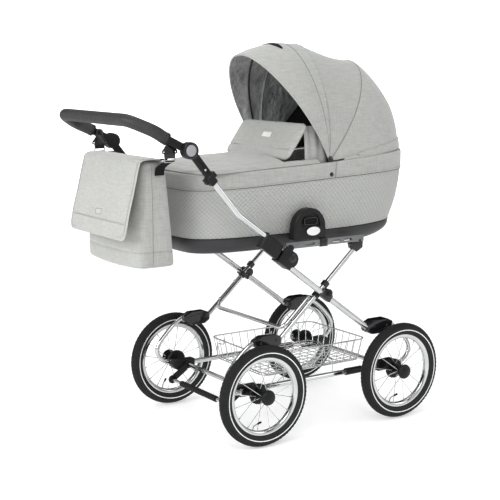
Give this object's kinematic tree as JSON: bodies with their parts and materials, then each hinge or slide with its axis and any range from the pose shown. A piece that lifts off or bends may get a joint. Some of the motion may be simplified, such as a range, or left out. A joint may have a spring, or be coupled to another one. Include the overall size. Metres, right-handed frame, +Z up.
{
  "type": "pushchair",
  "caption": "Classic pushchair: sprung folding chassis on large wire wheels, quilted lift-off carrycot, folding hood, basket, adjustable handle and a hanging bag.",
  "frame": {"origin": "on the floor below the middle of the outer box", "axes": "+X towards the hood end, away from the person who pushes; +Y to the left side; +Z up"},
  "size_m": [1.2157, 0.678, 1.3098],
  "materials": {
    "tyre": "matte black tread with a white side ring",
    "chrome": "bright chrome plate on tube",
    "steel": "satin strip",
    "gloss_black": "glossy black",
    "black_metal": "black casting and tube",
    "black_plastic": "satin black plastic",
    "grey_plastic": "grey button",
    "grip_leather": "wrapped dark leather",
    "quilted_cloth": "light grey quilted and melange cloth",
    "melange_cloth": "light grey melange cloth"
  },
  "bodies": {
    "rear_frame": {"basket": "chrome", "outer_rail_left": "chrome", "outer_rail_right": "chrome", "rear_axle_frame": "black_metal"},
    "rear_legs": {"c_spring_rear_left": "chrome", "c_spring_rear_right": "chrome", "corner_block_left": "gloss_black", "corner_block_right": "gloss_black", "rear_leg_frame": "chrome", "saddle_rear_left": "gloss_black", "saddle_rear_right": "gloss_black"},
    "front_legs": {"c_spring_front_left": "chrome", "c_spring_front_right": "chrome", "front_leg_left": "chrome", "front_leg_right": "chrome", "handle_housing_left": "black_plastic", "handle_housing_right": "black_plastic", "pivot_clamp_left": "gloss_black", "pivot_clamp_right": "gloss_black", "saddle_front_left": "gloss_black", "saddle_front_right": "gloss_black"},
    "front_frame": {"front_axle_frame": "black_metal", "inner_rail_left": "chrome", "inner_rail_right": "chrome"},
    "carrier": {"rear_strap_left": "steel", "rear_strap_right": "steel"},
    "front_straps": {"front_strap_left": "steel", "front_strap_right": "steel"},
    "cot": {"apron": "quilted_cloth", "apron_flap": "quilted_cloth", "cot_base": "black_plastic", "cot_body": "quilted_cloth", "cot_bracket_left": "black_plastic", "cot_bracket_right": "black_plastic", "hood_rear": "melange_cloth", "mattress": "melange_cloth"},
    "hood_middle": {"hood_middle": "melange_cloth"},
    "hood_front": {"hood_front": "melange_cloth"},
    "handle": {"handle_tube_left": "chrome", "handle_tube_right": "chrome", "lower_arm_left": "black_plastic", "lower_arm_right": "black_plastic"},
    "fold_lock_left": {"fold_lock_left": "gloss_black"},
    "fold_lock_right": {"fold_lock_right": "gloss_black"},
    "grip": {"grip": "grip_leather", "upper_arm_left": "black_plastic", "upper_arm_right": "black_plastic"},
    "hinge_button_left": {"hinge_button_left": "grey_plastic"},
    "hinge_button_right": {"hinge_button_right": "grey_plastic"},
    "bag": {"bag": "quilted_cloth", "bag_flap": "quilted_cloth"},
    "brake": {"brake_bar": "black_metal"},
    "wheel_rear_left": {"tyre_rear_left": "tyre", "wheel_rear_left": "chrome"},
    "wheel_rear_right": {"tyre_rear_right": "tyre", "wheel_rear_right": "chrome"},
    "wheel_front_left": {"tyre_front_left": "tyre", "wheel_front_left": "chrome"},
    "wheel_front_right": {"tyre_front_right": "tyre", "wheel_front_right": "chrome"}
  },
  "joints": [
    {"name": "chassis_fold", "type": "hinge", "parent": "rear_frame", "child": "rear_legs", "pos_m": [-0.18415, 0, 0.172], "axis": [0, 1, 0], "range_deg": [0, 22]},
    {"name": "scissor", "type": "hinge", "parent": "rear_legs", "child": "front_legs", "pos_m": [0.14685, 0, 0.473], "axis": [0, 1, 0], "range_deg": [-44, 0]},
    {"name": "front_frame_pivot", "type": "hinge", "parent": "front_legs", "child": "front_frame", "pos_m": [0.47785, 0, 0.172], "axis": [0, 1, 0], "range_deg": [0, 22]},
    {"name": "rear_strap_pivot", "type": "hinge", "parent": "front_legs", "child": "carrier", "pos_m": [-0.00315, 0, 0.64], "axis": [0, 1, 0], "range_deg": [0, 22]},
    {"name": "front_strap_pivot", "type": "hinge", "parent": "rear_legs", "child": "front_straps", "pos_m": [0.29685, 0, 0.64], "axis": [0, 1, 0], "range_deg": [-22, 0]},
    {"name": "cot_lift_off", "type": "slide", "parent": "carrier", "child": "cot", "axis": [0, 0, 1], "range_m": [0, 0.35]},
    {"name": "hood_fold", "type": "hinge", "parent": "cot", "child": "hood_middle", "pos_m": [0.19185, 0, 0.918], "axis": [0, 1, 0], "range_deg": [0, 35]},
    {"name": "hood_front_fold", "type": "hinge", "parent": "hood_middle", "child": "hood_front", "pos_m": [0.19185, 0, 0.918], "axis": [0, 1, 0], "range_deg": [0, 35]},
    {"name": "handle_fold", "type": "hinge", "parent": "front_legs", "child": "handle", "pos_m": [-0.01475, 0, 0.6111], "axis": [0, 1, 0], "range_deg": [0, 15]},
    {"name": "fold_lock_left_slide", "type": "slide", "parent": "handle", "child": "fold_lock_left", "axis": [-0.8049, 0, 0.5934], "range_m": [0, 0.03]},
    {"name": "fold_lock_right_slide", "type": "slide", "parent": "handle", "child": "fold_lock_right", "axis": [-0.8049, 0, 0.5934], "range_m": [0, 0.03]},
    {"name": "grip_adjust", "type": "hinge", "parent": "handle", "child": "grip", "pos_m": [-0.39715, 0, 0.982], "axis": [0, 1, 0], "range_deg": [-15, 50]},
    {"name": "bag_swing", "type": "hinge", "parent": "grip", "child": "bag", "pos_m": [-0.45439, 0, 1.01062], "axis": [0, 1, 0], "range_deg": [-50, 15]},
    {"name": "hinge_button_left_press", "type": "slide", "parent": "handle", "child": "hinge_button_left", "axis": [0, -1, 0], "range_m": [0, 0.003], "stiffness_N_per_m": 600, "springref_m": -0.001},
    {"name": "hinge_button_right_press", "type": "slide", "parent": "handle", "child": "hinge_button_right", "axis": [0, 1, 0], "range_m": [0, 0.003], "stiffness_N_per_m": 600, "springref_m": -0.001},
    {"name": "brake_pedal", "type": "hinge", "parent": "rear_frame", "child": "brake", "pos_m": [-0.14465, 0, 0.17], "axis": [0, 1, 0], "range_deg": [-20, 0]},
    {"name": "wheel_rear_left_spin", "type": "hinge", "parent": "rear_frame", "child": "wheel_rear_left", "pos_m": [-0.14465, 0.2977, 0.17], "axis": [0, 1, 0], "continuous": true},
    {"name": "wheel_rear_right_spin", "type": "hinge", "parent": "rear_frame", "child": "wheel_rear_right", "pos_m": [-0.14465, -0.2977, 0.17], "axis": [0, 1, 0], "continuous": true},
    {"name": "wheel_front_left_spin", "type": "hinge", "parent": "front_frame", "child": "wheel_front_left", "pos_m": [0.43835, 0.2977, 0.17], "axis": [0, 1, 0], "continuous": true},
    {"name": "wheel_front_right_spin", "type": "hinge", "parent": "front_frame", "child": "wheel_front_right", "pos_m": [0.43835, -0.2977, 0.17], "axis": [0, 1, 0], "continuous": true}
  ],
  "couplings": [
    {"joint": "scissor", "follows": "chassis_fold", "ratio": -2},
    {"joint": "front_frame_pivot", "follows": "chassis_fold", "ratio": 1},
    {"joint": "rear_strap_pivot", "follows": "chassis_fold", "ratio": 1},
    {"joint": "front_strap_pivot", "follows": "chassis_fold", "ratio": -1},
    {"joint": "hood_front_fold", "follows": "hood_fold", "ratio": 1},
    {"joint": "bag_swing", "follows": "grip_adjust", "ratio": -1}
  ]
}
